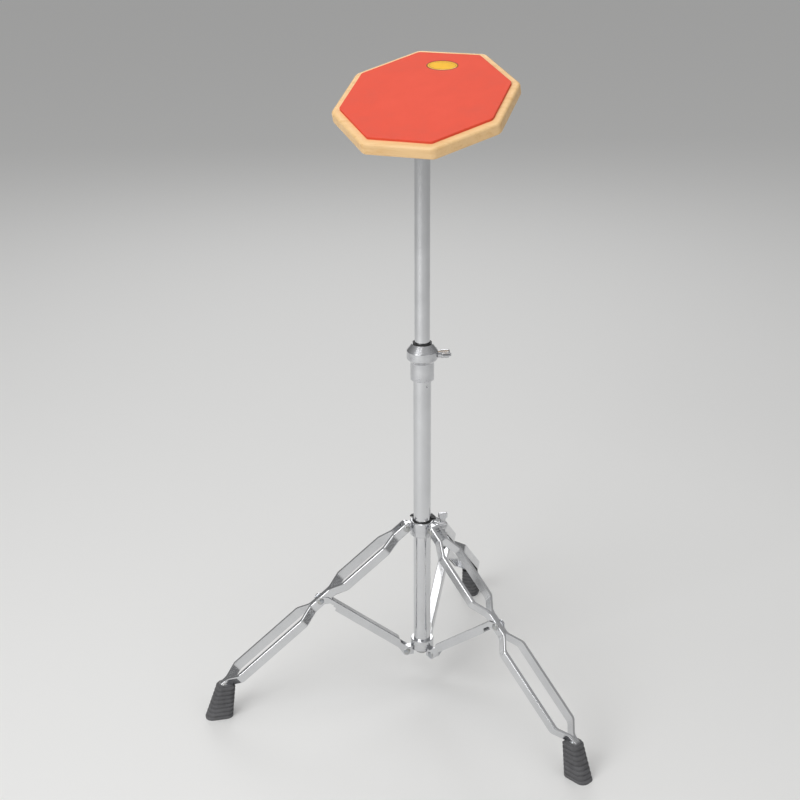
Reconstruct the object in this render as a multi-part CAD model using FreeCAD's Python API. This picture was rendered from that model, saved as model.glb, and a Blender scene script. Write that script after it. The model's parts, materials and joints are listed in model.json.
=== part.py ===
import FreeCAD
import Part
import math
import os

# Practice pad on a folding tripod stand. Millimetres, +Z up, floor at Z = 0, tube axis on Z.
# The rear leg points along +Y; the two front legs stand at 210 and 330 degrees.

# Tubes
lower_tube_radius = 11.1
lower_tube_wall = 1.3
lower_tube_bottom = 64.0
lower_tube_top = 479.0
upper_tube_radius = 9.525
upper_tube_wall = 1.2
upper_tube_bottom = 313.0
upper_tube_top = 741.0
press_gap = 0.05
running_gap = 0.08
key_dimple_radius = 2.0
key_dimple_depth = 0.9
key_dimple_azimuth = -40.0
key_dimple_height = 442.0
plug_flange = 4.0
plug_insert = 14.0
plug_chamfer = 1.5
bush_insert = 22.0
bush_spigot = 12.0
bush_bore = 6.0

# Tripod: one triangle of pivots per leg, mirrored about the mid pivot's height
leg_azimuths = {"front_left": 210.0, "front_right": 330.0, "rear": 90.0}
pivot_radius = 22.0
top_pivot_height = 247.0
mid_pivot_radius = 137.0
mid_pivot_height = 155.0
link_pivot_height = 2 * mid_pivot_height - top_pivot_height
link_run = mid_pivot_radius - pivot_radius
link_rise = mid_pivot_height - link_pivot_height
link_length = math.hypot(link_run, link_rise)
link_angle = math.degrees(math.atan2(link_rise, link_run))
rivet_radius = 2.5
rivet_head_radius = 4.6
rivet_head_height = 1.7

# Leg strips: two pressed channels per leg, bowed apart and pinched together at the pivots
leg_end_radius = 267.5
leg_end_height = 44.56
foot_mouth = 9.0
strip_height = 12.6
strip_depth = 4.5
strip_wall = 1.3
strip_corner = 1.8
bend_radius = 9.0
top_pinch = 3.25
top_pinch_end = 18.0
upper_bow_start = 38.0
upper_bow_end = 38.0
mid_pinch = 0.1
mid_pinch_before = 19.0
mid_pinch_after = 14.0
lower_bow_start = 33.0
lower_bow_end = 17.0
upper_bow_gap = 13.2
lower_bow_gap = 14.4
route_overrun = 20.0
foot_rivet_inset = 1.0
link_wall = 1.1
link_inner_half = mid_pinch + strip_depth + 0.3
link_web_height = 8.9
link_web_start = 14.0
link_low_end = 15.5
link_high_start = 20.0
link_ear_radius = 6.0
link_notch_start = 12.5
link_notch_end = 23.0
link_notch_edge = 4.0
link_deep_edge = -1.2

# Rubber feet
foot_height = 48.0
foot_sole_inner = 258.0
foot_top_inner = 252.5
foot_sole_outer = 294.5
foot_top_outer = 277.0
foot_sole_half_width = 12.0
foot_top_half_width = 10.0
foot_corner = 8.0
foot_ribs = 8
foot_rib_share = 0.68
foot_groove_depth = 1.3

# Height clamp at the top of the lower tube
clamp_bottom = 449.0
clamp_skirt_radius = 14.75
clamp_skirt_top = 472.0
clamp_band_radius = 19.25
clamp_band_bottom = 477.0
clamp_band_top = 487.0
clamp_rim_radius = 12.6
clamp_top = 496.0
clamp_bush_radius = 11.0
clamp_bush_top = 498.0
clamp_screw_height = 482.0
clamp_screw_azimuth = 20.0

# Tripod collar that slides on the lower tube
collar_bottom = 234.0
collar_top = 254.0
collar_radius = 15.4
collar_bore = 12.8
collar_screw_height = 242.5
collar_screw_azimuth = 30.0
liner_saddle_top = 256.0
liner_saddle_radius = 18.0

# Bottom collar fixed to the lower tube
bottom_collar_low = 64.0
bottom_collar_high = 79.0
bottom_collar_radius = 15.0

# Wing screws
screw_radius = 3.0
screw_boss_radius = 6.6
neck_radius = 4.8
wing_hub_radius = 5.5
wing_hub_length = 11.0
wing_span = 18.0
wing_thickness = 4.0

# Tilter under the pad
tilt_pivot_height = 760.0
tilt_angle = 22.0
head_swivel = -4.0
tilter_disc_radius = 11.0
tilter_base_half = 5.0
tilter_arm_width = 9.0
tilter_gap = 0.15
tilter_bolt_radius = 3.0
stud_radius = 4.0
stud_offset = tilter_base_half + tilter_gap + tilter_arm_width / 2
arm_flange_low = 18.0
arm_flange_high = 21.0
lock_nut_high = 27.4
tee_nut_low = 27.6
tee_nut_flange = 1.4
tee_nut_rim = 11.0

# Pad
board_low = tee_nut_low + tee_nut_flange
board_thickness = 15.5
board_across_flats = 203.0
board_corner = 4.0
board_edge = 3.5
rubber_across_flats = 184.0
rubber_thickness = 3.0
badge_length = 39.0
badge_width = 22.0
badge_depth = 1.0
badge_distance = 64.5
tee_nut_barrel = 1.4
tee_nut_length = 11.5
stud_length_in_board = 10.5

V = FreeCAD.Vector
ORIGIN = V(0, 0, 0)
X_AXIS = V(1, 0, 0)
Y_AXIS = V(0, 1, 0)
Z_AXIS = V(0, 0, 1)


def cylinder(radius, start, direction, length):
    """Solid cylinder from a start point along a direction."""
    return Part.makeCylinder(radius, length, start, direction)


def ring(outer, inner, low, high):
    """Upright tube between two heights."""
    wall = Part.makeCylinder(outer, high - low, V(0, 0, low))
    return wall.cut(Part.makeCylinder(inner, high - low + 2, V(0, 0, low - 1)))


def box(low, high):
    """Box between two corners."""
    return Part.makeBox(high[0] - low[0], high[1] - low[1], high[2] - low[2], V(*low))


def prism(points, direction):
    """Closed polygon pushed along a direction."""
    corners = [V(*point) for point in points]
    return Part.Face(Part.makePolygon(corners + corners[:1])).extrude(direction)


def spun(points, start=ORIGIN, direction=Z_AXIS):
    """Profile of (radius, height) points turned about an axis."""
    corners = [V(radius, 0, height) for radius, height in points]
    solid = Part.Face(Part.makePolygon(corners + corners[:1])).revolve(ORIGIN, Z_AXIS, 360)
    solid.Placement = FreeCAD.Placement(start, FreeCAD.Rotation(Z_AXIS, direction))
    return solid


def turned(shape, axis, angle, centre=ORIGIN):
    """Copy of a shape turned about an axis through a centre."""
    copy = shape.copy()
    copy.rotate(centre, axis, angle)
    return copy


def joined(shapes):
    """Fuse a list of shapes into one clean solid."""
    result = shapes[0].fuse(shapes[1:]) if len(shapes) > 1 else shapes[0]
    return result.removeSplitter()


def rounded(shape, radius, wanted):
    """Round every edge of a shape that the test picks."""
    return shape.makeFillet(radius, [edge for edge in shape.Edges if wanted(edge)])


def middle(edge):
    """Point halfway along an edge."""
    return edge.valueAt((edge.FirstParameter + edge.LastParameter) / 2)


def is_parallel(edge, axis):
    """True for a straight edge that runs along an axis."""
    if not isinstance(edge.Curve, Part.Line):
        return False
    return abs(abs(edge.Curve.Direction.dot(axis)) - 1) < 1e-6


def save(name, *solids):
    """Write one sub-part."""
    shape = solids[0] if len(solids) == 1 else Part.makeCompound(list(solids))
    shape.exportStep(os.path.join("parts", name + ".step"))


# --- Tubes, plugs and bushes -------------------------------------------------------------------

def make_lower_tube():
    """Steel tube with a dimple that keys the height clamp."""
    inner = lower_tube_radius - lower_tube_wall
    tube = ring(lower_tube_radius, inner, lower_tube_bottom, lower_tube_top)
    azimuth = math.radians(key_dimple_azimuth)
    reach = lower_tube_radius + key_dimple_radius - key_dimple_depth
    centre = V(reach * math.cos(azimuth), reach * math.sin(azimuth), key_dimple_height)
    dimple = Part.makeSphere(key_dimple_radius, centre)
    return tube.cut(dimple)


def make_tube_end_plug():
    """Moulded plug in the open end of the lower tube."""
    inner = lower_tube_radius - lower_tube_wall - press_gap
    seat = lower_tube_bottom
    low = seat - plug_flange
    high = seat + plug_insert
    return spun([(0, low), (lower_tube_radius - plug_chamfer, low),
                 (lower_tube_radius, low + plug_chamfer), (lower_tube_radius, seat), (inner, seat),
                 (inner, high - 2), (inner - 1, high), (0, high)])


def make_upper_tube():
    """Steel tube that carries the tilter."""
    inner = upper_tube_radius - upper_tube_wall
    return ring(upper_tube_radius, inner, upper_tube_bottom, upper_tube_top)


def make_guide_bush():
    """Nylon bush that guides the upper tube's lower end inside the lower tube."""
    outer = lower_tube_radius - lower_tube_wall - running_gap
    spigot = upper_tube_radius - upper_tube_wall - running_gap
    shoulder = upper_tube_bottom - press_gap
    low = shoulder - bush_insert
    high = shoulder + bush_spigot
    return spun([(bush_bore, low), (outer - 1, low), (outer, low + 1), (outer, shoulder),
                 (spigot, shoulder), (spigot, high), (bush_bore, high)])


# --- Wing screws -------------------------------------------------------------------------------

def wing_paddle(start, sign):
    """One wing: a narrow stem that widens to a tab, in the plane of the screw's axis."""
    stem_low = start + 2.2
    stem_high = start + wing_hub_length - 1.8
    tab_low = start - 0.2
    tab_high = start + wing_hub_length + 0.6
    knee = wing_span - 8.5
    outline = [(stem_low, 0), (stem_high, 0), (stem_high, knee), (tab_high, knee + 2.5),
               (tab_high, wing_span), (tab_low, wing_span), (tab_low, knee + 2.5), (stem_low, knee)]
    points = [(x, -wing_thickness / 2, sign * z) for x, z in outline]
    paddle = prism(points, V(0, wing_thickness, 0))
    paddle = rounded(paddle, 1.8, lambda edge: is_parallel(edge, Y_AXIS) and abs(middle(edge).z) > 1)
    return rounded(paddle, 0.9, lambda edge: abs(abs(middle(edge).y) - wing_thickness / 2) < 1e-6
                   and abs(middle(edge).z) > wing_hub_radius - 2)


def wing_screw(tip, neck, hub):
    """Wing screw along +X: thread from the tip, neck, hub and two wings along Z."""
    thread = cylinder(screw_radius, V(tip, 0, 0), X_AXIS, neck - tip)
    hub_end = hub + wing_hub_length
    shank = spun([(0, neck), (neck_radius, neck), (neck_radius, hub), (wing_hub_radius, hub),
                  (wing_hub_radius, hub_end - 1.5), (wing_hub_radius - 1.5, hub_end), (0, hub_end)],
                 ORIGIN, X_AXIS)
    return joined([thread, shank, wing_paddle(hub, 1), wing_paddle(hub, -1)])


def place_screw(shape, azimuth, height, roll):
    """Turn a screw's wings about its axis, then set it at a height and azimuth."""
    placed = turned(turned(shape, X_AXIS, roll), Z_AXIS, azimuth)
    placed.translate(V(0, 0, height))
    return placed


# --- Height clamp ------------------------------------------------------------------------------

def make_height_clamp():
    """Die-cast clamp pressed on the lower tube, with a threaded hole for its screw."""
    bore = lower_tube_radius + press_gap
    body = spun([(bore, clamp_bottom), (clamp_skirt_radius - 0.6, clamp_bottom),
                 (clamp_skirt_radius, clamp_bottom + 0.6), (clamp_skirt_radius, clamp_skirt_top),
                 (clamp_band_radius, clamp_band_bottom), (clamp_band_radius, clamp_band_top),
                 (clamp_rim_radius, clamp_top), (bore, clamp_top)])
    body = rounded(body, 0.8, lambda edge: edge.BoundBox.XLength > 2 * clamp_skirt_radius + 1)
    hole = cylinder(screw_radius + press_gap, V(0, 0, 0), X_AXIS, 2 * clamp_band_radius)
    return body.cut(place_screw(hole, clamp_screw_azimuth, clamp_screw_height, 0))


def make_clamp_bush():
    """Nylon bush between the clamp and the upper tube, slotted and pierced for the screw."""
    bush = ring(clamp_bush_radius, upper_tube_radius + running_gap, lower_tube_top + 0.1,
                clamp_bush_top)
    lip = ring(clamp_bush_radius + 0.9, upper_tube_radius + running_gap, clamp_top + 0.05,
               clamp_bush_top)
    hole = cylinder(screw_radius + 0.4, ORIGIN, X_AXIS, 2 * clamp_band_radius)
    hole = place_screw(hole, clamp_screw_azimuth, clamp_screw_height, 0)
    slot = box((-20, -0.6, lower_tube_top), (0, 0.6, clamp_bush_top + 1))
    return joined([bush, lip]).cut(hole).cut(turned(slot, Z_AXIS, clamp_screw_azimuth))


# --- Tripod collar and bottom collar -----------------------------------------------------------

def pivot_lug(half_width, height, reach_in, radius):
    """Tongue along +X that a leg or link straddles, with its pivot hole."""
    body = box((reach_in, -half_width, height - radius), (pivot_radius, half_width, height + radius))
    nose = cylinder(radius, V(pivot_radius, -half_width, height), Y_AXIS, 2 * half_width)
    hole = cylinder(rivet_radius + running_gap, V(pivot_radius, -50, height), Y_AXIS, 100)
    return body.fuse(nose).cut(hole)


def on_every_leg(shape):
    """The shape repeated at each leg's azimuth."""
    return [turned(shape, Z_AXIS, azimuth) for azimuth in leg_azimuths.values()]


def make_tripod_collar():
    """Casting that slides on the lower tube and carries the three legs and its wing screw."""
    body = spun([(collar_bore, collar_bottom), (collar_radius - 1, collar_bottom),
                 (collar_radius, collar_bottom + 1), (collar_radius, collar_top - 1),
                 (collar_radius - 1, collar_top), (collar_bore, collar_top)])
    lug = pivot_lug(top_pinch - 0.25, top_pivot_height, collar_radius - 1.5, strip_height / 2 - 0.5)
    boss = cylinder(screw_boss_radius, V(collar_radius - 2, 0, 0), X_AXIS, 6)
    boss = place_screw(boss, collar_screw_azimuth, collar_screw_height, 0)
    hole = cylinder(screw_radius + press_gap, ORIGIN, X_AXIS, 40)
    hole = place_screw(hole, collar_screw_azimuth, collar_screw_height, 0)
    return joined([body, boss] + on_every_leg(lug)).cut(hole)


def make_collar_liner():
    """Nylon liner of the tripod collar, with a raised saddle behind the tube."""
    inner = lower_tube_radius + running_gap
    liner = ring(collar_bore - press_gap, inner, collar_bottom - 0.5, collar_top + 1.0)
    saddle = ring(liner_saddle_radius, inner, collar_top + 0.05, liner_saddle_top)
    behind = box((-40, 4, collar_top), (40, 40, collar_top + 40))
    hole = cylinder(screw_radius + 0.4, ORIGIN, X_AXIS, 40)
    hole = place_screw(hole, collar_screw_azimuth, collar_screw_height, 0)
    return joined([liner, saddle.common(behind)]).cut(hole)


def make_bottom_collar():
    """Ring fixed near the end of the lower tube, with a tongue for each link."""
    bore = lower_tube_radius + press_gap
    body = spun([(bore, bottom_collar_low), (bottom_collar_radius - 0.8, bottom_collar_low),
                 (bottom_collar_radius, bottom_collar_low + 0.8),
                 (bottom_collar_radius, bottom_collar_high - 0.8),
                 (bottom_collar_radius - 0.8, bottom_collar_high), (bore, bottom_collar_high)])
    lug = pivot_lug(link_inner_half - 0.25, link_pivot_height, bottom_collar_radius - 2.5,
                    link_ear_radius - 0.3)
    return joined([body] + on_every_leg(lug))


# --- Legs and links, built in the leg's own plane ----------------------------------------------
# Distances run along the leg from its top pivot, sides are across it, heights are square to it.

leg_fall = math.atan2(top_pivot_height - leg_end_height, leg_end_radius - pivot_radius)
leg_length = math.hypot(top_pivot_height - leg_end_height, leg_end_radius - pivot_radius)
mid_distance = (link_run * math.cos(leg_fall)
                + (top_pivot_height - mid_pivot_height) * math.sin(leg_fall))
mid_offset = (link_run * math.sin(leg_fall)
              - (top_pivot_height - mid_pivot_height) * math.cos(leg_fall))
foot_rivet_distance = leg_length - foot_rivet_inset

strip_route = [
    (-route_overrun, top_pinch),
    (top_pinch_end, top_pinch),
    (upper_bow_start, upper_bow_gap),
    (mid_distance - upper_bow_end, upper_bow_gap),
    (mid_distance - mid_pinch_before, mid_pinch),
    (mid_distance + mid_pinch_after, mid_pinch),
    (mid_distance + lower_bow_start, lower_bow_gap),
    (leg_length - foot_mouth - lower_bow_end, lower_bow_gap),
    (leg_length - foot_mouth, mid_pinch),
    (leg_length + route_overrun, mid_pinch),
]


def side_at(distance):
    """Inner edge of the strip at a distance along the leg."""
    for (start, side), (end, next_side) in zip(strip_route, strip_route[1:]):
        if start <= distance <= end:
            return side + (next_side - side) * (distance - start) / (end - start)
    return mid_pinch


def strip_band(inner, outer, low, high, radius):
    """Band that follows the strip's route, with its bends rounded."""
    near = [(distance, side + inner, low) for distance, side in strip_route]
    far = [(distance, side + outer, low) for distance, side in reversed(strip_route)]
    band = prism(near + far, V(0, 0, high - low))
    ends = (strip_route[0][0], strip_route[-1][0])
    return rounded(band, radius, lambda edge: is_parallel(edge, Z_AXIS)
                   and min(abs(middle(edge).x - end) for end in ends) > 1)


def strip_slot(half_height):
    """Side outline of a leg: straight, with both ends round."""
    body = box((0, -60, -half_height), (leg_length, 60, half_height))
    ends = [cylinder(half_height, V(distance, -60, 0), Y_AXIS, 120) for distance in (0, leg_length)]
    return body.fuse(ends).removeSplitter()


def make_strip():
    """One pressed channel of a leg, open underneath."""
    half = strip_height / 2
    outer = strip_band(0, strip_depth, -half, half, bend_radius).common(strip_slot(half))
    outer = outer.removeSplitter()

    def is_outer_rim(edge):
        point = middle(edge)
        return not is_parallel(edge, Z_AXIS) and point.y > side_at(point.x) + 0.7 * strip_depth

    outer = rounded(outer, strip_corner, is_outer_rim)
    hollow = strip_band(strip_wall, strip_depth - strip_wall, -half - 1, half - strip_wall,
                        bend_radius)
    hollow = hollow.common(box((0, -60, -half - 1), (leg_length, 60, half - strip_wall)))
    strip = outer.cut(hollow)
    for distance, offset in ((0, 0), (mid_distance, mid_offset), (foot_rivet_distance, 0)):
        hole = cylinder(rivet_radius + press_gap, V(distance, -60, offset), Y_AXIS, 120)
        strip = strip.cut(hole)
    return strip


def rivet(half_grip):
    """Rivet along Y with a domed head at each end."""
    head = rivet_head_radius
    rise = rivet_head_height
    outline = [(0, -half_grip - rise), (head * 0.55, -half_grip - rise),
               (head * 0.9, -half_grip - rise * 0.6), (head, -half_grip),
               (rivet_radius, -half_grip), (rivet_radius, half_grip), (head, half_grip),
               (head * 0.9, half_grip + rise * 0.6), (head * 0.55, half_grip + rise),
               (0, half_grip + rise)]
    return spun(outline, ORIGIN, Y_AXIS)


def to_leg(shape):
    """Swing a shape from the leg's own plane to the rest pose, pointing along +X."""
    placed = turned(shape, Y_AXIS, math.degrees(leg_fall))
    placed.translate(V(pivot_radius, 0, top_pivot_height))
    return placed


def moved(shape, *offset):
    """Copy of a shape, shifted."""
    copy = shape.copy()
    copy.translate(V(*offset))
    return copy


def foot_plate(inset, low, high):
    """One rib or groove of the foot: a rounded plate that leans and narrows with height."""
    share = (low + high) / 2 / foot_height
    inner = foot_sole_inner + (foot_top_inner - foot_sole_inner) * share + inset
    outer = foot_sole_outer + (foot_top_outer - foot_sole_outer) * share - inset
    half = foot_sole_half_width + (foot_top_half_width - foot_sole_half_width) * share - inset
    plate = box((inner, -half, low), (outer, half, high))
    return rounded(plate, foot_corner, lambda edge: is_parallel(edge, Z_AXIS))


def make_foot():
    """Ribbed rubber boot with a socket for the pinched end of the leg."""
    pitch = foot_height / foot_ribs
    rib = foot_rib_share * pitch
    plates = []
    for index in range(foot_ribs):
        low = index * pitch
        plates.append(foot_plate(0, low, low + rib))
        plates.append(foot_plate(foot_groove_depth, low + rib, low + pitch))
    boot = joined(plates)
    half = strip_height / 2 + 0.15
    width = mid_pinch + strip_depth + 0.15
    socket = box((leg_length - 70, -width, -half), (leg_length, width, half))
    lip = leg_length - foot_mouth
    mouth = box((lip - 8, -width - 1.2, -half), (lip + 4, width + 1.2, half))
    end = cylinder(half, V(leg_length, -width, 0), Y_AXIS, 2 * width)
    socket = socket.fuse([mouth, end])
    above = box((lip - 80, -40, -60), (lip - 1, 40, 60))
    head = rivet_head_radius + 0.2
    recess = cylinder(head, V(foot_rivet_distance, -40, 0), Y_AXIS, 80)
    return boot.cut(to_leg(socket)).cut(to_leg(above)).cut(to_leg(recess))


def make_link():
    """Channel from the bottom collar to the leg, cut back where it folds against collar and strips."""
    half = link_inner_half + link_wall
    top = link_web_height + link_wall
    ear = link_ear_radius
    notch_start = link_length - link_notch_start
    notch_end = link_length - link_notch_end
    outline = [(0, -ear), (14, link_deep_edge), (notch_end - 2, link_deep_edge),
               (notch_end, link_notch_edge), (notch_start, link_notch_edge),
               (link_length, -ear), (link_length + ear * 0.7, ear * 0.7),
               (link_length - 3, top - 2), (link_length - 6, top), (link_high_start, top),
               (link_low_end, ear), (0, ear), (-ear * 0.7, ear * 0.7)]
    body = prism([(x, -half, z) for x, z in outline], V(0, 2 * half, 0))
    for distance in (0, link_length):
        body = body.fuse(cylinder(ear, V(distance, -half, 0), Y_AXIS, 2 * half))
    body = body.removeSplitter()
    body = rounded(body, 1.2, lambda edge: is_parallel(edge, X_AXIS)
                   and abs(middle(edge).z - top) < 1e-6)
    inside = link_inner_half
    channel = box((-20, -inside, -20), (link_length + 20, inside, link_web_height))
    ends = [box((-20, -inside, -20), (link_high_start, inside, 20)),
            box((link_length - link_web_start, -inside, -20), (link_length + 20, inside, 20))]
    body = body.cut(channel.fuse(ends))
    for distance in (0, link_length):
        gap = press_gap if distance == 0 else running_gap
        body = body.cut(cylinder(rivet_radius + gap, V(distance, -50, 0), Y_AXIS, 100))
    return body


def to_link(shape):
    """Swing a shape from the link's own plane to the rest pose, pointing along +X."""
    placed = turned(shape, Y_AXIS, -link_angle)
    placed.translate(V(pivot_radius, 0, link_pivot_height))
    return placed


def save_legs():
    """Write every node of the three legs and their links."""
    strip = make_strip()
    twin = strip.mirror(ORIGIN, Y_AXIS)
    ear_grip = link_inner_half + link_wall
    pieces = {
        "leg_strip_left": to_leg(strip),
        "leg_strip_right": to_leg(twin),
        "foot": make_foot(),
        "leg_top_rivet": to_leg(rivet(top_pinch + strip_depth)),
        "leg_mid_rivet": to_leg(moved(rivet(ear_grip + 0.1), mid_distance, 0, mid_offset)),
        "foot_rivet": to_leg(moved(rivet(mid_pinch + strip_depth), foot_rivet_distance, 0, 0)),
        "link": to_link(make_link()),
        "link_rivet": to_link(rivet(ear_grip)),
    }
    for leg, azimuth in leg_azimuths.items():
        for name, shape in pieces.items():
            save(leg + "_" + name, turned(shape, Z_AXIS, azimuth))


# --- Tilter, built upright over the tube and then leant forward --------------------------------

def on_head(shape):
    """Lift a shape, built with the tilt pivot at the origin, to the turned top of the upper tube."""
    placed = turned(shape, Z_AXIS, head_swivel)
    placed.translate(V(0, 0, tilt_pivot_height))
    return placed


def above_pivot(shape):
    """Lean a shape, built upright over the tilt pivot, to the pad's tilt."""
    return on_head(turned(shape, X_AXIS, tilt_angle))


def make_tilter_base():
    """Casting in the top of the upper tube, with the fixed half of the tilt joint."""
    spigot = upper_tube_radius - upper_tube_wall - press_gap
    flange = upper_tube_radius + 1.2
    seat = upper_tube_top - tilt_pivot_height
    stem = spun([(0, seat - 22), (spigot, seat - 22), (spigot, seat), (flange, seat),
                 (flange, seat + 2.2), (flange - 0.8, seat + 3), (0, seat + 3)])
    half = tilter_base_half
    disc = cylinder(tilter_disc_radius, V(-half, 0, 0), X_AXIS, 2 * half)
    web = box((-half, -8.5, seat + 2), (half, 8.5, 0))
    hole = cylinder(tilter_bolt_radius + press_gap, V(-30, 0, 0), X_AXIS, 60)
    return on_head(joined([stem, disc, web]).cut(hole))


def make_tilter_arm():
    """Moving half of the tilt joint, with a flange that carries the stud."""
    low = tilter_base_half + tilter_gap
    disc = cylinder(tilter_disc_radius, V(low, 0, 0), X_AXIS, tilter_arm_width)
    stem = spun([(0, 0), (6.2, 0), (6.2, arm_flange_low - 2), (11, arm_flange_low),
                 (11, arm_flange_high), (0, arm_flange_high)], V(stud_offset, 0, 0))
    shoulder = tilter_disc_radius + 1.5
    beside = [box((low - 10, -20, -20), (low, 20, shoulder)),
              box((low + tilter_arm_width, -20, -20), (low + 20, 20, shoulder))]
    stem = stem.cut(beside)
    bolt_hole = cylinder(tilter_bolt_radius + running_gap, V(-30, 0, 0), X_AXIS, 60)
    stud_hole = cylinder(stud_radius + press_gap, V(stud_offset, 0, 8), Z_AXIS, 40)
    return above_pivot(joined([disc, stem]).cut(bolt_hole).cut(stud_hole))


def make_tilter_bolt():
    """Coach bolt across the tilt joint, its head against the fixed half."""
    head = tilter_base_half + press_gap
    thread_end = 27.0
    return on_head(spun([(0, -head - 4), (4.5, -head - 3.4), (6.5, -head - 1.2), (6.5, -head),
                         (tilter_bolt_radius, -head), (tilter_bolt_radius, thread_end - 0.8),
                         (tilter_bolt_radius - 0.8, thread_end), (0, thread_end)],
                        ORIGIN, X_AXIS))


def make_tilter_washer():
    """Steel washer between the moving half and the wing nut."""
    start = tilter_base_half + tilter_gap + tilter_arm_width + 0.1
    bore = tilter_bolt_radius + running_gap
    return on_head(spun([(bore, start), (7, start), (7, start + 1.2), (bore, start + 1.2)],
                        ORIGIN, X_AXIS))


def make_tilter_wing_nut():
    """Wing nut that locks the tilt."""
    start = tilter_base_half + tilter_gap + tilter_arm_width + 1.5
    hub = spun([(0, start), (6.2, start), (5.2, start + 7), (4.2, start + 8), (0, start + 8)],
               ORIGIN, X_AXIS)
    wings = [hub]
    for sign in (1, -1):
        outline = [(start + 1, 0), (start + 7, 0), (start + 10.5, 10), (start + 10.5, 15.5),
                   (start + 6.5, 15.5), (start + 2.5, 8)]
        wing = prism([(x, -1.6, sign * z) for x, z in outline], V(0, 3.2, 0))
        wings.append(rounded(wing, 1.4, lambda edge: is_parallel(edge, Y_AXIS)
                             and abs(middle(edge).z) > 1))
    hole = cylinder(tilter_bolt_radius + running_gap, V(0, 0, 0), X_AXIS, 60)
    return on_head(turned(joined(wings).cut(hole), X_AXIS, 70))


def make_stud():
    """Threaded stud that the pad screws on to."""
    top = board_low + stud_length_in_board
    return above_pivot(spun([(0, 8.2), (stud_radius, 8.2), (stud_radius, top - 1),
                             (stud_radius - 1, top), (0, top)], V(stud_offset, 0, 0)))


def make_lock_nut():
    """Hexagon nut that locks the pad on its stud."""
    across_corners = 13.0 / math.cos(math.radians(30)) / 2
    corners = [(across_corners * math.cos(math.radians(60 * step)) + stud_offset,
                across_corners * math.sin(math.radians(60 * step)), arm_flange_high + 0.2)
               for step in range(6)]
    nut = prism(corners, V(0, 0, lock_nut_high - arm_flange_high - 0.2))
    hole = cylinder(stud_radius + running_gap, V(stud_offset, 0, 0), Z_AXIS, 60)
    return above_pivot(nut.cut(hole))


# --- Pad ---------------------------------------------------------------------------------------

def octagon(across_flats, low, thickness):
    """Regular octagonal plate about the stud's axis."""
    reach = across_flats / 2 / math.cos(math.radians(22.5))
    angles = [math.radians(22.5 + 45 * step) for step in range(8)]
    corners = [(reach * math.cos(angle) + stud_offset, reach * math.sin(angle), low)
               for angle in angles]
    return prism(corners, V(0, 0, thickness))


def make_pad_board():
    """Octagonal wooden board with softened edges and a hole for the tee nut."""
    board = octagon(board_across_flats, board_low, board_thickness)
    board = rounded(board, board_corner, lambda edge: is_parallel(edge, Z_AXIS))
    board = rounded(board, board_edge, lambda edge: not is_parallel(edge, Z_AXIS))
    bore = stud_radius + tee_nut_barrel + press_gap
    hole = cylinder(bore, V(stud_offset, 0, board_low - 1), Z_AXIS, tee_nut_length + 1.5)
    return above_pivot(board.cut(hole))


def badge_blank(gap, low, high):
    """Oval plate near the back edge of the playing surface."""
    oval = Part.Ellipse(ORIGIN, badge_length / 2 + gap, badge_width / 2 + gap).toShape()
    plate = Part.Face(Part.Wire(oval)).extrude(V(0, 0, high - low))
    plate.translate(V(stud_offset, badge_distance, low))
    return plate


def make_playing_rubber():
    """Rubber sheet glued on the board, with a shallow recess for the badge."""
    low = board_low + board_thickness
    sheet = octagon(rubber_across_flats, low, rubber_thickness)
    sheet = rounded(sheet, 1.5, lambda edge: is_parallel(edge, Z_AXIS))
    recess = badge_blank(0.05, low + rubber_thickness - badge_depth, low + rubber_thickness + 1)
    return above_pivot(sheet.cut(recess))


def make_badge():
    """Plain oval badge set flush in the rubber."""
    top = board_low + board_thickness + rubber_thickness
    return above_pivot(badge_blank(0, top - badge_depth + 0.02, top))


def make_tee_nut():
    """Flanged threaded insert pressed into the underside of the board."""
    inner = stud_radius + running_gap
    barrel = stud_radius + tee_nut_barrel
    top = board_low + tee_nut_length
    return above_pivot(spun([(inner, tee_nut_low), (tee_nut_rim, tee_nut_low),
                             (tee_nut_rim, board_low), (barrel, board_low), (barrel, top),
                             (inner, top)], V(stud_offset, 0, 0)))


os.makedirs("parts", exist_ok=True)
save("lower_tube", make_lower_tube())
save("tube_end_plug", make_tube_end_plug())
save("bottom_collar", make_bottom_collar())
save("height_clamp", make_height_clamp())
save("clamp_bush", make_clamp_bush())
save("clamp_wing_screw", place_screw(wing_screw(upper_tube_radius + 0.12, clamp_band_radius + 0.1, 23.0),
                                     clamp_screw_azimuth, clamp_screw_height, 75))
save("tripod_collar", make_tripod_collar())
save("tripod_collar_liner", make_collar_liner())
save("tripod_wing_screw", place_screw(wing_screw(lower_tube_radius + 0.12, 20.1, 22.0),
                                      collar_screw_azimuth, collar_screw_height, 0))
save_legs()
save("upper_tube", make_upper_tube())
save("guide_bush", make_guide_bush())
save("tilter_base", make_tilter_base())
save("tilter_arm", make_tilter_arm())
save("tilter_bolt", make_tilter_bolt())
save("tilter_washer", make_tilter_washer())
save("tilter_wing_nut", make_tilter_wing_nut())
save("pad_stud", make_stud())
save("stud_lock_nut", make_lock_nut())
save("pad_tee_nut", make_tee_nut())
save("pad_board", make_pad_board())
save("playing_rubber", make_playing_rubber())
save("pad_badge", make_badge())
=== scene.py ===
import json
import math

import bmesh
import bpy
from bpy.props import FloatProperty, FloatVectorProperty, IntProperty, PointerProperty
from mathutils import Matrix, Vector


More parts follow.
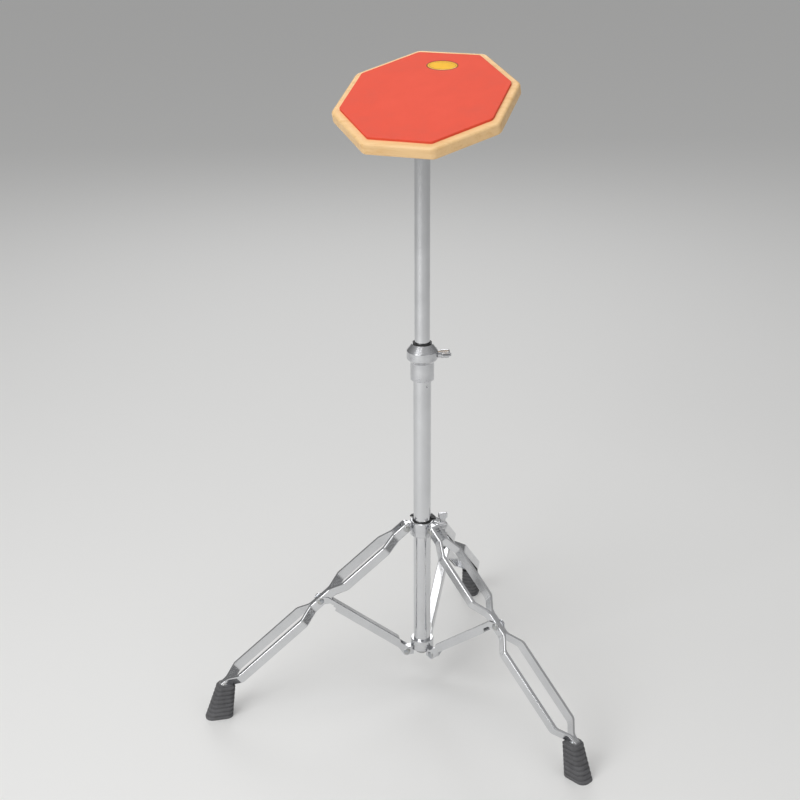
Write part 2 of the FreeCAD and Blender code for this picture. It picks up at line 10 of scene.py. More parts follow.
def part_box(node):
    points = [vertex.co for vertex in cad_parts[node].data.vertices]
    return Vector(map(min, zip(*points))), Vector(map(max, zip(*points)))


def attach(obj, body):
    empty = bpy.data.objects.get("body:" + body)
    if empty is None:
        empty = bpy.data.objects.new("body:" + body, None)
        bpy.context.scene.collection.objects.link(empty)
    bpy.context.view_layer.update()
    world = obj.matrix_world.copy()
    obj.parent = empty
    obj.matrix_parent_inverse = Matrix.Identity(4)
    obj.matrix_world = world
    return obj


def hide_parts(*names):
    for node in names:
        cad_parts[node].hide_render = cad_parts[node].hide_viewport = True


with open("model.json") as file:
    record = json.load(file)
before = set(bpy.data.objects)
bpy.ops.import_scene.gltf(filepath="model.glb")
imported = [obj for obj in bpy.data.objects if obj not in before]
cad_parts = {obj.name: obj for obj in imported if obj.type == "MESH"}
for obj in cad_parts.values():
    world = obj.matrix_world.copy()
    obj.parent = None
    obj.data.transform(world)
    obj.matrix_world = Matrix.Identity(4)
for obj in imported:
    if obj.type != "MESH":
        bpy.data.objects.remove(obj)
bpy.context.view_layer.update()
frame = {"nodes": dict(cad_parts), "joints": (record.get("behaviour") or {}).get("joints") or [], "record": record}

bl_info = {
    "name": "Practice Pad Stand",
    "version": (1, 0, 0),
    "blender": (4, 5, 0),
    "location": "3D View > Sidebar > Practice Pad",
    "description": "Dresses an octagonal practice pad and its tripod stand with detail and finishes",
    "category": "Object",
}

MM = 0.001
LEGS = ("front_left", "front_right", "rear")
JOINTS = {joint["name"]: joint for joint in frame["joints"]}
SLOTS = {part["node"]: part["material_slot"] for part in frame["record"]["subparts"]}


# --- Places read from the frame ----------------------------------------------------------------

def centre_of(node):
    """Middle of a node's box, which for a pin or rivet lies on its axis."""
    low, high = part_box(node)
    return (Vector(low) + Vector(high)) / 2


def local_points(node, place):
    """Vertices of a node in the local space of a placing matrix."""
    back = place.inverted()
    return [back @ vertex.co for vertex in frame["nodes"][node].data.vertices]


def extent(node, place):
    """Lowest and highest corners of a node in the local space of a placing matrix."""
    points = local_points(node, place)
    low = Vector([min(point[i] for point in points) for i in range(3)])
    high = Vector([max(point[i] for point in points) for i in range(3)])
    return low, high


def place_from(origin, x_axis, z_axis):
    """Matrix that puts a local origin, X axis and Z axis in the frame."""
    z_axis = Vector(z_axis).normalized()
    y_axis = z_axis.cross(Vector(x_axis)).normalized()
    x_axis = y_axis.cross(z_axis)
    turn = Matrix((x_axis, y_axis, z_axis)).transposed().to_4x4()
    return Matrix.Translation(Vector(origin)) @ turn


PAD_PLACE = place_from(JOINTS["pad_spin"]["pos_m"], JOINTS["pad_tilt"]["axis"],
                       JOINTS["pad_spin"]["axis"])
TILT_PLACE = place_from(JOINTS["pad_tilt"]["pos_m"], (0, 0, 1), JOINTS["pad_tilt"]["axis"])


def leg_place(leg):
    """Matrix of a leg's own plane: X outwards along the floor, Z up."""
    outwards = centre_of(leg + "_foot_rivet")
    return place_from((0, 0, 0), (outwards.x, outwards.y, 0), (0, 0, 1))


# --- Colours and materials ---------------------------------------------------------------------

def linear(hex_colour):
    """Linear RGB of an sRGB hex colour."""
    parts = [int(hex_colour[i:i + 2], 16) / 255 for i in (1, 3, 5)]
    return [p / 12.92 if p <= 0.04045 else ((p + 0.055) / 1.055) ** 2.4 for p in parts]


def add(tree, kind, inputs=None, **settings):
    """Adds a node, sets its properties, and sets or links its inputs."""
    node = tree.nodes.new(kind)
    for name, value in settings.items():
        setattr(node, name, value)
    for socket, value in (inputs or {}).items():
        if isinstance(value, bpy.types.NodeSocket):
            tree.links.new(value, node.inputs[socket])
        else:
            node.inputs[socket].default_value = value
    return node


def ramp(tree, factor, stops):
    """Adds a colour ramp whose stops are (position, linear colour) pairs."""
    node = add(tree, "ShaderNodeValToRGB", {"Fac": factor})
    elements = node.color_ramp.elements
    while len(elements) < len(stops):
        elements.new(0.5)
    for element, (position, colour) in zip(elements, stops):
        element.position = position
        element.color = (*colour, 1)
    return node


def grey(level):
    """Grey colour of one level."""
    return (level, level, level)


def blank(name):
    """New material's tree, its surface shader, and its Object coordinates."""
    material = bpy.data.materials.new(name)
    material.use_nodes = True
    tree = material.node_tree
    shader = tree.nodes["Principled BSDF"]
    where = add(tree, "ShaderNodeTexCoord").outputs["Object"]
    return material, tree, shader, where


def per_metre(millimetres):
    """Noise scale whose features are about this far apart."""
    return 1000 / millimetres


def connect(tree, shader, colour=None, roughness=None, height=None, depth=0.1, strength=1.0):
    """Links colour, roughness and a bump whose depth is in millimetres to the shader."""
    if colour is not None:
        tree.links.new(colour, shader.inputs["Base Color"])
    if roughness is not None:
        tree.links.new(roughness, shader.inputs["Roughness"])
    if height is not None:
        bump = add(tree, "ShaderNodeBump", {"Height": height, "Distance": depth * MM,
                                            "Strength": strength})
        tree.links.new(bump.outputs["Normal"], shader.inputs["Normal"])


def chrome_plated_steel():
    """Bright chrome plate over polished steel tube and strip."""
    # Chrome is nearly neutral with a trace of blue. Handling leaves faint hazy patches, and the
    # polishing before the plating leaves very fine waves.
    material, tree, shader, where = blank("bright_chrome_plate")
    haze = add(tree, "ShaderNodeTexNoise", {"Vector": where, "Scale": per_metre(35), "Detail": 5.0,
                                            "Roughness": 0.6})
    rough = add(tree, "ShaderNodeMapRange", {"Value": haze.outputs["Fac"], "From Min": 0.3,
                                             "From Max": 0.75, "To Min": 0.13, "To Max": 0.24})
    tint = ramp(tree, haze.outputs["Fac"], [(0.3, linear("#DDDEE0")), (0.75, linear("#D2D3D5"))])
    waves = add(tree, "ShaderNodeTexNoise", {"Vector": where, "Scale": per_metre(7), "Detail": 2.0})
    shader.inputs["Metallic"].default_value = 1.0
    connect(tree, shader, tint.outputs["Color"], rough.outputs["Result"], waves.outputs["Fac"], 0.02)
    return material


def chrome_plated_casting():
    """Chrome plate over die-cast zinc."""
    # A casting is never as flat as drawn tube: the plate follows a faint orange peel, and stays
    # a little hazier.
    material, tree, shader, where = blank("chrome_plated_die_casting")
    peel = add(tree, "ShaderNodeTexNoise", {"Vector": where, "Scale": per_metre(2.5), "Detail": 3.0})
    haze = add(tree, "ShaderNodeTexNoise", {"Vector": where, "Scale": per_metre(12), "Detail": 4.0})
    rough = add(tree, "ShaderNodeMapRange", {"Value": haze.outputs["Fac"], "From Min": 0.3,
                                             "From Max": 0.7, "To Min": 0.17, "To Max": 0.30})
    tint = ramp(tree, haze.outputs["Fac"], [(0.3, linear("#DADBDD")), (0.7, linear("#CCCDD0"))])
    shader.inputs["Metallic"].default_value = 1.0
    connect(tree, shader, tint.outputs["Color"], rough.outputs["Result"], peel.outputs["Fac"], 0.03)
    return material


def zinc_plated_steel():
    """Bright zinc plate on nuts, washers and rivets."""
    # Passivated zinc is greyer than chrome, with a faint blue-yellow mottle and a soft shine.
    material, tree, shader, where = blank("bright_zinc_plate")
    mottle = add(tree, "ShaderNodeTexNoise", {"Vector": where, "Scale": per_metre(4), "Detail": 4.0})
    tint = ramp(tree, mottle.outputs["Fac"],
                [(0.35, linear("#B4B8BE")), (0.52, linear("#BCBDBC")), (0.68, linear("#BEBEBA"))])
    rough = add(tree, "ShaderNodeMapRange", {"Value": mottle.outputs["Fac"], "From Min": 0.3,
                                             "From Max": 0.7, "To Min": 0.26, "To Max": 0.38})
    grit = add(tree, "ShaderNodeTexNoise", {"Vector": where, "Scale": per_metre(0.8)})
    shader.inputs["Metallic"].default_value = 1.0
    connect(tree, shader, tint.outputs["Color"], rough.outputs["Result"], grit.outputs["Fac"], 0.015)
    return material


def moulded_nylon():
    """Black moulded nylon of the bushes and plug."""
    # Nylon comes out of the mould with a fine spark-eroded grain and a low sheen.
    material, tree, shader, where = blank("black_moulded_nylon")
    grain = add(tree, "ShaderNodeTexNoise", {"Vector": where, "Scale": per_metre(0.7), "Detail": 3.0})
    tint = ramp(tree, grain.outputs["Fac"], [(0.35, linear("#151516")), (0.7, linear("#1F1F21"))])
    rough = add(tree, "ShaderNodeMapRange", {"Value": grain.outputs["Fac"], "To Min": 0.42,
                                             "To Max": 0.62})
    shader.inputs["IOR"].default_value = 1.53
    connect(tree, shader, tint.outputs["Color"], rough.outputs["Result"], grain.outputs["Fac"], 0.05)
    return material


def foot_rubber(colour):
    """Dark grey moulded rubber of the feet."""
    # Vulcanised rubber is matt, and floor dust greys it in patches, most near the sole.
    material, tree, shader, where = blank("dark_grey_moulded_rubber")
    dust = add(tree, "ShaderNodeTexNoise", {"Vector": where, "Scale": per_metre(9), "Detail": 6.0,
                                            "Roughness": 0.65})
    height = add(tree, "ShaderNodeSeparateXYZ", {"Vector": where}).outputs["Z"]
    low = add(tree, "ShaderNodeMapRange", {"Value": height, "From Min": 0.0, "From Max": 0.03,
                                           "To Min": 0.18, "To Max": 0.0})
    mixed = add(tree, "ShaderNodeMath", {0: dust.outputs["Fac"], 1: low.outputs["Result"]},
                operation="ADD")
    base = Vector(colour)
    tint = ramp(tree, mixed.outputs["Value"], [(0.35, base), (0.85, base * 1.5 + Vector(grey(0.01)))])
    grain = add(tree, "ShaderNodeTexNoise", {"Vector": where, "Scale": per_metre(0.9), "Detail": 3.0})
    rough = add(tree, "ShaderNodeMapRange", {"Value": grain.outputs["Fac"], "To Min": 0.68,
                                             "To Max": 0.85})
    shader.inputs["IOR"].default_value = 1.52
    connect(tree, shader, tint.outputs["Color"], rough.outputs["Result"], grain.outputs["Fac"], 0.08)
    return material


def gum_rubber_sheet(colour):
    """Coral red gum rubber of the playing surface."""
    # Calendered gum rubber is matt, with a fine pebble from the cloth it is rolled against.
    # Sticks rub the middle a little duller and paler.
    material, tree, shader, where = blank("coral_gum_rubber_sheet")
    at_pad = add(tree, "ShaderNodeVectorMath", {0: where, 1: PAD_PLACE.translation},
                 operation="SUBTRACT").outputs["Vector"]
    distance = add(tree, "ShaderNodeVectorMath", {0: at_pad}, operation="LENGTH").outputs["Value"]
    smudge = add(tree, "ShaderNodeTexNoise", {"Vector": where, "Scale": per_metre(28), "Detail": 5.0,
                                              "Roughness": 0.6})
    played = add(tree, "ShaderNodeMapRange", {"Value": distance, "From Min": 0.03, "From Max": 0.08,
                                              "To Min": 0.16, "To Max": 0.0},
                 interpolation_type="SMOOTHSTEP")
    worn = add(tree, "ShaderNodeMath", {0: smudge.outputs["Fac"], 1: played.outputs["Result"]},
               operation="ADD")
    base = Vector(colour)
    tint = ramp(tree, worn.outputs["Value"],
                [(0.3, base * 0.95), (0.55, base), (0.9, base * 1.04 + Vector((0.0, 0.012, 0.012)))])
    pebble = add(tree, "ShaderNodeTexVoronoi", {"Vector": where, "Scale": per_metre(0.9)},
                 feature="SMOOTH_F1")
    rough = add(tree, "ShaderNodeMapRange", {"Value": worn.outputs["Value"], "From Min": 0.3,
                                             "From Max": 0.9, "To Min": 0.60, "To Max": 0.74})
    shader.inputs["IOR"].default_value = 1.52
    connect(tree, shader, tint.outputs["Color"], rough.outputs["Result"],
            pebble.outputs["Distance"], 0.06)
    return material


def lacquered_board(colour):
    """Pale lacquered wood of the board."""
    # A fine even hardwood under satin lacquer: long faint streaks along the grain, and short
    # darker pores.
    material, tree, shader, where = blank("satin_lacquered_pale_wood")
    grain_way = add(tree, "ShaderNodeMapping", {"Vector": where, "Scale": (1.0, 9.0, 9.0)})
    streaks = add(tree, "ShaderNodeTexNoise", {"Vector": grain_way.outputs["Vector"],
                                               "Scale": per_metre(55), "Detail": 6.0,
                                               "Roughness": 0.62, "Distortion": 0.4})
    pore_way = add(tree, "ShaderNodeMapping", {"Vector": where, "Scale": (1.0, 12.0, 12.0)})
    pores = add(tree, "ShaderNodeTexNoise", {"Vector": pore_way.outputs["Vector"],
                                             "Scale": per_metre(9), "Detail": 2.0})
    base = Vector(colour)
    tint = ramp(tree, streaks.outputs["Fac"],
                [(0.3, Vector((base.x * 0.90, base.y * 0.84, base.z * 0.74))), (0.5, base),
                 (0.72, Vector((base.x * 1.03, base.y * 1.05, base.z * 1.10)))])
    speck = ramp(tree, pores.outputs["Fac"], [(0.27, grey(0.85)), (0.36, grey(1.0))])
    both = add(tree, "ShaderNodeMix", {"Factor": 0.8, "A": tint.outputs["Color"],
                                       "B": speck.outputs["Color"]},
               data_type="RGBA", blend_type="MULTIPLY")
    rough = add(tree, "ShaderNodeMapRange", {"Value": streaks.outputs["Fac"], "To Min": 0.34,
                                             "To Max": 0.46})
    shader.inputs["IOR"].default_value = 1.5
    connect(tree, shader, both.outputs["Result"], rough.outputs["Result"], pores.outputs["Fac"], 0.03)
    return material


def enamelled_badge(name, colour):
    """Glossy enamel of the badge."""
    # Poured enamel is glass-smooth, with a very slight pooling that deepens its colour.
    material, tree, shader, where = blank(name)
    pool = add(tree, "ShaderNodeTexNoise", {"Vector": where, "Scale": per_metre(14), "Detail": 2.0})
    base = Vector(colour)
    tint = ramp(tree, pool.outputs["Fac"], [(0.35, base * 0.9), (0.65, base)])
    rough = add(tree, "ShaderNodeMapRange", {"Value": pool.outputs["Fac"], "To Min": 0.18,
                                             "To Max": 0.28})
    shader.inputs["Coat Weight"].default_value = 0.4
    connect(tree, shader, tint.outputs["Color"], rough.outputs["Result"])
    return material


# --- Modelling ---------------------------------------------------------------------------------

def soften(shape, edges, width, segments):
    """Rounds edges by a bevel."""
    bmesh.ops.bevel(shape, geom=edges, offset=width, offset_type="OFFSET", affect="EDGES",
                    segments=segments, profile=0.5, material=-1, clamp_overlap=True)


def is_upright(edge):
    """True for an edge that runs along local Z."""
    way = edge.verts[1].co - edge.verts[0].co
    return abs(way.z) > 0.9 * way.length


def level_edges(shape, height):
    """Edges that lie in the level plane at a height."""
    return [edge for edge in shape.edges
            if all(abs(vert.co.z - height) < 1e-6 for vert in edge.verts)]


def raised(shape, faces, height):
    """Extrudes level faces upwards and returns the new vertices."""
    result = bmesh.ops.extrude_face_region(shape, geom=faces)
    verts = [item for item in result["geom"] if isinstance(item, bmesh.types.BMVert)]
    bmesh.ops.translate(shape, verts=verts, vec=(0, 0, height))
    return verts


def octagon_plate(across_flats, low, high, corner):
    """Octagonal plate with flats square to X and Y, and rounded upright corners."""
    shape = bmesh.new()
    radius = across_flats / 2 / math.cos(math.pi / 8)
    turn = Matrix.Translation((0, 0, low)) @ Matrix.Rotation(math.pi / 8, 4, "Z")
    bmesh.ops.create_circle(shape, cap_ends=True, segments=8, radius=radius, matrix=turn)
    raised(shape, shape.faces[:], high - low)
    soften(shape, [edge for edge in shape.edges if is_upright(edge)], corner, 6)
    return shape


def make_piece(name, shape, place, material, body, stands_for=()):
    """Turns a bmesh into a piece of the object that rides on a body."""
    bmesh.ops.remove_doubles(shape, verts=shape.verts, dist=1e-6)
    bmesh.ops.recalc_face_normals(shape, faces=shape.faces)
    bmesh.ops.transform(shape, matrix=place, verts=shape.verts)
    mesh = bpy.data.meshes.new(name)
    shape.to_mesh(mesh)
    shape.free()
    mesh.shade_smooth()
    mesh.set_sharp_from_angle(angle=math.radians(35))
    mesh.materials.append(material)
    piece = bpy.data.objects.new(name, mesh)
    bpy.context.scene.collection.objects.link(piece)
    weighted = piece.modifiers.new("even_shading", "WEIGHTED_NORMAL")
    weighted.keep_sharp = True
    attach(piece, body)
    if stands_for:
        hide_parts(*stands_for)
    return piece


# --- Settings ----------------------------------------------------------------------------------

def colour_setting(name, description, hex_colour):
    """Colour property with an sRGB hex default."""
    return FloatVectorProperty(name=name, description=description, subtype="COLOR", size=3,
                               min=0.0, max=1.0, default=linear(hex_colour))


class PadSettings(bpy.types.PropertyGroup):
    """Sizes and colours of the pad."""

    rubber_colour: colour_setting("Playing rubber", "Colour of the rubber sheet", "#E84E34")
    board_colour: colour_setting("Board", "Colour of the wooden board", "#F4CB92")
    badge_colour: colour_setting("Badge", "Colour of the badge's field", "#FFC20E")
    badge_line_colour: colour_setting("Badge ring", "Colour of the badge's ring", "#A05A12")
    board_corner: FloatProperty(name="Board corner", description="Radius of the board's corners",
                                default=4 * MM, unit="LENGTH")
    board_edge: FloatProperty(name="Board edge", description="Radius of the board's edges",
                              default=3.5 * MM, unit="LENGTH")
    rubber_edge: FloatProperty(name="Rubber edge", description="Radius of the rubber's top edge",
                               default=0.7 * MM, unit="LENGTH")


class FootSettings(bpy.types.PropertyGroup):
    """Sizes and colour of the rubber feet."""

    colour: colour_setting("Rubber", "Colour of the rubber feet", "#545456")
    ribs: IntProperty(name="Ribs", description="Number of ribs on each foot", default=8, min=2)
    mouth: FloatProperty(name="Mouth", description="Distance from the rivet up to the foot's mouth",
                         default=9 * MM, unit="LENGTH")
    groove: FloatProperty(name="Groove", description="Depth of the grooves between the ribs",
                          default=1.3 * MM, unit="LENGTH")
    heel_lean: FloatProperty(name="Heel lean", description="How far the foot's inner side leans",
                             default=5.5 * MM, unit="LENGTH")
    toe_lean: FloatProperty(name="Toe lean", description="How far the foot's outer side leans",
                            default=17.5 * MM, unit="LENGTH")
    narrowing: FloatProperty(name="Narrowing", description="How much each flank draws in upwards",
                             default=2 * MM, unit="LENGTH")
    corner: FloatProperty(name="Corner", description="Radius of a foot's upright corners",
                          default=9.5 * MM, unit="LENGTH")


class StageSettings(bpy.types.PropertyGroup):
    """Floor, light and camera."""

    floor_colour: colour_setting("Floor", "Colour of the floor", "#EFEFEE")
    key_power: FloatProperty(name="Key light", description="Power of the key light",
                             default=30.0, unit="POWER")
    lens: FloatProperty(name="Lens", description="Focal length on a 36 mm wide sensor",
                        default=65.25, unit="CAMERA")


SETTINGS = {"pad_stand_pad": PadSettings, "pad_stand_feet": FootSettings,
            "pad_stand_stage": StageSettings}


# --- Operators ---------------------------------------------------------------------------------

class PADSTAND_OT_board(bpy.types.Operator):
    """Make the octagonal wooden board"""

    bl_idname = "padstand.board"
    bl_label = "Board"

    def execute(self, context):
        settings = context.scene.pad_stand_pad
        low, high = extent("pad_board", PAD_PLACE)
        shape = octagon_plate(high.x - low.x, low.z, high.z, settings.board_corner)
        rims = level_edges(shape, low.z) + level_edges(shape, high.z)
        soften(shape, rims, settings.board_edge, 5)
        make_piece("board", shape, PAD_PLACE, lacquered_board(settings.board_colour), "pad",
                   ["pad_board"])
        return {"FINISHED"}


def badge_outline(shape, gap, height):
    """Adds the oval outline of the badge at a height, wider than the badge by a gap."""
    low, high = extent("pad_badge", PAD_PLACE)
    middle = (low + high) / 2
    size = (high - low) / 2
    oval = Matrix.Translation((middle.x, middle.y, height)) @ Matrix.Diagonal(
        (size.x + gap, size.y + gap, 1, 1))
    return bmesh.ops.create_circle(shape, cap_ends=False, segments=64, radius=1, matrix=oval)["verts"]


class PADSTAND_OT_playing_rubber(bpy.types.Operator):
    """Make the rubber playing surface, with the shallow recess that holds the badge"""

    bl_idname = "padstand.playing_rubber"
    bl_label = "Playing rubber"

    def execute(self, context):
        settings = context.scene.pad_stand_pad
        low, high = extent("playing_rubber", PAD_PLACE)
        shape = octagon_plate(high.x - low.x, low.z, high.z, 2 * MM)
        soften(shape, level_edges(shape, high.z), settings.rubber_edge, 4)
        top = max(shape.faces, key=lambda face: face.calc_area() * face.normal.z)
        rim = top.edges[:]
        bmesh.ops.delete(shape, geom=[top], context="FACES_ONLY")
        oval = badge_outline(shape, 0.25 * MM, high.z)
        oval_edges = list({edge for vert in oval for edge in vert.link_edges})
        bmesh.ops.triangle_fill(shape, edges=rim + oval_edges, use_beauty=True, normal=(0, 0, 1))
        wall = bmesh.ops.extrude_edge_only(shape, edges=oval_edges)["geom"]
        depth = high.z - extent("pad_badge", PAD_PLACE)[0].z
        bmesh.ops.translate(shape, verts=[item for item in wall if isinstance(item, bmesh.types.BMVert)],
                            vec=(0, 0, -depth))
        bmesh.ops.contextual_create(shape, geom=[item for item in wall
                                                 if isinstance(item, bmesh.types.BMEdge)])
        make_piece("rubber_sheet", shape, PAD_PLACE, gum_rubber_sheet(settings.rubber_colour), "pad",
                   ["playing_rubber"])
        return {"FINISHED"}


# Height that the badge's rim and field are built up within, in millimetres.
BADGE_RELIEF = 0.25
# From the rim inwards: width and rise in millimetres, and whether the step is brown.
BADGE_STEPS = ((0.6, 0.15, True), (0.9, 0.0, True), (0.3, -0.2, False), (1.2, 0.02, False),
               (0.4, 0.0, True), (0.8, 0.1, False))


class PADSTAND_OT_badge(bpy.types.Operator):
    """Make the oval badge: a plain field with a thin line, inside a raised ring"""

    bl_idname = "padstand.badge"
    bl_label = "Badge"

    def execute(self, context):
        settings = context.scene.pad_stand_pad
        low, high = extent("pad_badge", PAD_PLACE)
        shape = bmesh.new()
        badge_outline(shape, -0.02 * MM, low.z)
        bmesh.ops.contextual_create(shape, geom=shape.edges[:])
        raised(shape, shape.faces[:], high.z - low.z - BADGE_RELIEF * MM)
        top = max(shape.faces, key=lambda face: face.calc_center_median().z * (len(face.verts) > 4))
        for width, rise, is_brown in BADGE_STEPS:
            bmesh.ops.inset_region(shape, faces=[top], thickness=width * MM, use_even_offset=True)
            for face in [face for edge in top.edges for face in edge.link_faces if face != top]:
                face.material_index = int(is_brown)
            bmesh.ops.translate(shape, verts=top.verts[:], vec=(0, 0, rise * MM))
        badge = make_piece("badge", shape, PAD_PLACE,
                           enamelled_badge("yellow_badge_enamel", settings.badge_colour), "pad",
                           ["pad_badge"])
        badge.data.materials.append(enamelled_badge("brown_badge_enamel", settings.badge_line_colour))
        return {"FINISHED"}


# One rib and the groove above it, upwards: share of the pitch, and share of the groove's depth.
RIB_PROFILE = ((0.06, 0.25), (0.14, 0.0), (0.52, 0.0), (0.60, 0.25), (0.68, 1.0), (0.92, 1.0),
               (1.0, 0.25))


class PADSTAND_OT_feet(bpy.types.Operator):
    """Make the three ribbed rubber feet"""

    bl_idname = "padstand.feet"
    bl_label = "Feet"

    def execute(self, context):
        settings = context.scene.pad_stand_feet
        rubber = foot_rubber(settings.colour)
        for leg in LEGS:
            make_foot(leg, settings, rubber)
        return {"FINISHED"}


def make_foot(leg, settings, rubber):
    """One foot: a boot of rounded ribs, cut square to the leg where the strips go in."""
    place = leg_place(leg)
    low, high = extent(leg + "_foot", place)
    near_sole = low.z + 0.1 * MM
    sole = [point.x for point in local_points(leg + "_foot", place) if point.z < near_sole]
    inner, outer = min(sole), max(sole)
    rivet = place.inverted() @ centre_of(leg + "_foot_rivet")
    pivot = place.inverted() @ centre_of(leg + "_leg_top_rivet")
    along = (rivet - pivot).normalized()
    height = high.z - low.z
    pitch = height / settings.ribs
    shape = bmesh.new()
    bmesh.ops.create_grid(shape, x_segments=1, y_segments=1, size=1.0)
    base = Matrix.Translation(((inner + outer) / 2, 0, low.z)) @ Matrix.Diagonal(
        ((outer - inner) / 2, high.y, 1, 1))
    bmesh.ops.transform(shape, matrix=base, verts=shape.verts)
    bmesh.ops.bevel(shape, geom=shape.verts[:], offset=settings.corner, offset_type="OFFSET",
                    affect="VERTICES", segments=7, profile=0.5, material=-1)
    state = [(inner + outer) / 2, (outer - inner) / 2, high.y, low.z]
    top = shape.faces[:]

    def grow(level, inset):
        """Extrudes the top to a level, where the section is inset from the taper."""
        share = (level - low.z) / height
        near = inner - settings.heel_lean * share
        far = outer - settings.toe_lean * share
        target = [(near + far) / 2, (far - near) / 2 - inset,
                  high.y - settings.narrowing * share - inset, level]
        result = bmesh.ops.extrude_face_region(shape, geom=top)["geom"]
        verts = [item for item in result if isinstance(item, bmesh.types.BMVert)]
        change = (Matrix.Translation((target[0], 0, target[3]))
                  @ Matrix.Diagonal((target[1] / state[1], target[2] / state[2], 1, 1))
                  @ Matrix.Translation((-state[0], 0, -state[3])))
        bmesh.ops.transform(shape, matrix=change, verts=verts)
        top[:] = [item for item in result if isinstance(item, bmesh.types.BMFace)]
        state[:] = target

    for rib in range(settings.ribs):
        is_last = rib == settings.ribs - 1
        for share, depth in RIB_PROFILE[:-1] if is_last else RIB_PROFILE:
            grow(low.z + (rib + share) * pitch, depth * settings.groove)
    mouth = rivet - along * settings.mouth
    bmesh.ops.bisect_plane(shape, geom=shape.verts[:] + shape.edges[:] + shape.faces[:],
                           plane_co=mouth, plane_no=-along, clear_outer=True)
    open_edges = [edge for edge in shape.edges if edge.is_boundary]
    bmesh.ops.holes_fill(shape, edges=open_edges, sides=0)
    make_piece(leg + "_rubber_foot", shape, place, rubber, leg + "_leg",
               [leg + "_foot"])


def spin_profile(shape, points, place=Matrix(), segments=32):
    """Turns a profile of (radius, height) points about local Z into a closed solid."""
    verts = [shape.verts.new(place @ Vector((radius, 0, height))) for radius, height in points]
    edges = [shape.edges.new(pair) for pair in zip(verts, verts[1:])]
    axis = place.to_3x3() @ Vector((0, 0, 1))
    bmesh.ops.spin(shape, geom=verts + edges, cent=place.translation, axis=axis,
                   angle=2 * math.pi, steps=segments, use_merge=True, use_duplicate=False)


RIVET_SHANK_RADIUS = 2.5 * MM
RIVET_HEAD_HEIGHT = 1.7 * MM


def make_rivet(node, body, finish):
    """Domed rivet along the axis of the node it stands for."""
    middle = centre_of(node)
    outwards = Vector((middle.x, middle.y, 0)).normalized()
    place = place_from(middle, (0, 0, 1), outwards.cross(Vector((0, 0, 1))))
    high = extent(node, place)[1]
    shape = bmesh.new()
    head, end = high.x, high.z
    grip = end - RIVET_HEAD_HEIGHT
    dome = [(head * math.cos(angle), grip + (end - grip) * math.sin(angle))
            for angle in [math.radians(step * 15) for step in range(6)]]
    half = [(RIVET_SHANK_RADIUS, grip)] + dome + [(0, end)]
    profile = [(radius, -height) for radius, height in reversed(half)] + half
    spin_profile(shape, profile)
    make_piece(node + "_domed", shape, place, finish, body, [node])


class PADSTAND_OT_rivets(bpy.types.Operator):
    """Make the domed rivets of the legs and links"""

    bl_idname = "padstand.rivets"
    bl_label = "Rivets"

    def execute(self, context):
        finish = zinc_plated_steel()
        for leg in LEGS:
            for rivet in ("leg_top_rivet", "leg_mid_rivet", "foot_rivet"):
                make_rivet(f"{leg}_{rivet}", leg + "_leg", finish)
            make_rivet(leg + "_link_rivet", leg + "_brace", finish)
        return {"FINISHED"}


def add_thread(shape, radius, pitch, start, end):
    """Helical ridge along local Z, with rounded flanks as rolled threads have."""
    ridge = [(radius - 0.55 * pitch, -0.44 * pitch), (radius, -0.07 * pitch), (radius, 0.07 * pitch),
             (radius - 0.55 * pitch, 0.44 * pitch)]
    verts = [shape.verts.new((across, 0, start + pitch + height)) for across, height in ridge]
    face = shape.faces.new(verts)
    steps = 20
    turns = max(1, int((end - start) / pitch) - 1)
    bmesh.ops.spin(shape, geom=[face], cent=(0, 0, 0), axis=(0, 0, 1), dvec=(0, 0, pitch / steps),
                   angle=2 * math.pi * turns, steps=steps * turns, use_merge=False,
                   use_duplicate=False)


BOLT_RADIUS = 3 * MM
BOLT_HEAD_HEIGHT = 4 * MM
BOLT_HEAD_RIM = 1 * MM
BOLT_THREAD_LENGTH = 12 * MM
BOLT_PITCH = 1 * MM
BOLT_TIP_CHAMFER = 0.6 * MM


def make_tilter_bolt(zinc):
    """Round-headed bolt of the tilter, with a rolled thread at its end."""
    low, high = extent("tilter_bolt", TILT_PLACE)
    head = high.x
    seat = low.z + BOLT_HEAD_HEIGHT
    rim = seat - BOLT_HEAD_RIM
    core = BOLT_RADIUS - BOLT_PITCH / 2
    thread = high.z - BOLT_THREAD_LENGTH
    crown = [(head * math.sin(angle), rim - (rim - low.z) * math.cos(angle))
             for angle in [math.radians(step * 15) for step in range(1, 7)]]
    shape = bmesh.new()
    spin_profile(shape, [(0, low.z)] + crown + [
        (head, seat), (BOLT_RADIUS, seat), (BOLT_RADIUS, thread), (core, thread),
        (core, high.z - BOLT_TIP_CHAMFER), (core - BOLT_TIP_CHAMFER, high.z), (0, high.z)])
    add_thread(shape, BOLT_RADIUS, BOLT_PITCH, thread - BOLT_PITCH, high.z - BOLT_PITCH / 2)
    make_piece("tilter_coach_bolt", shape, TILT_PLACE, zinc, "upper_post",
               ["tilter_bolt"])


NUT_CORNER = 0.4 * MM
NUT_CHAMFER = 0.7 * MM


def make_lock_nut(zinc):
    """Hexagon nut under the pad, with softened corners and rims."""
    low, high = extent("stud_lock_nut", PAD_PLACE)
    across_flats = min(high.x - low.x, high.y - low.y)
    turn = Matrix.Translation((0, 0, low.z)) @ Matrix.Rotation(math.radians(90), 4, "Z")
    shape = bmesh.new()
    bmesh.ops.create_circle(shape, cap_ends=True, segments=6,
                            radius=across_flats / 2 / math.cos(math.pi / 6), matrix=turn)
    raised(shape, shape.faces[:], high.z - low.z)
    soften(shape, [edge for edge in shape.edges if is_upright(edge)], NUT_CORNER, 3)
    soften(shape, level_edges(shape, low.z) + level_edges(shape, high.z), NUT_CHAMFER, 3)
    make_piece("hexagon_lock_nut", shape, PAD_PLACE, zinc, "stud_nut",
               ["stud_lock_nut"])


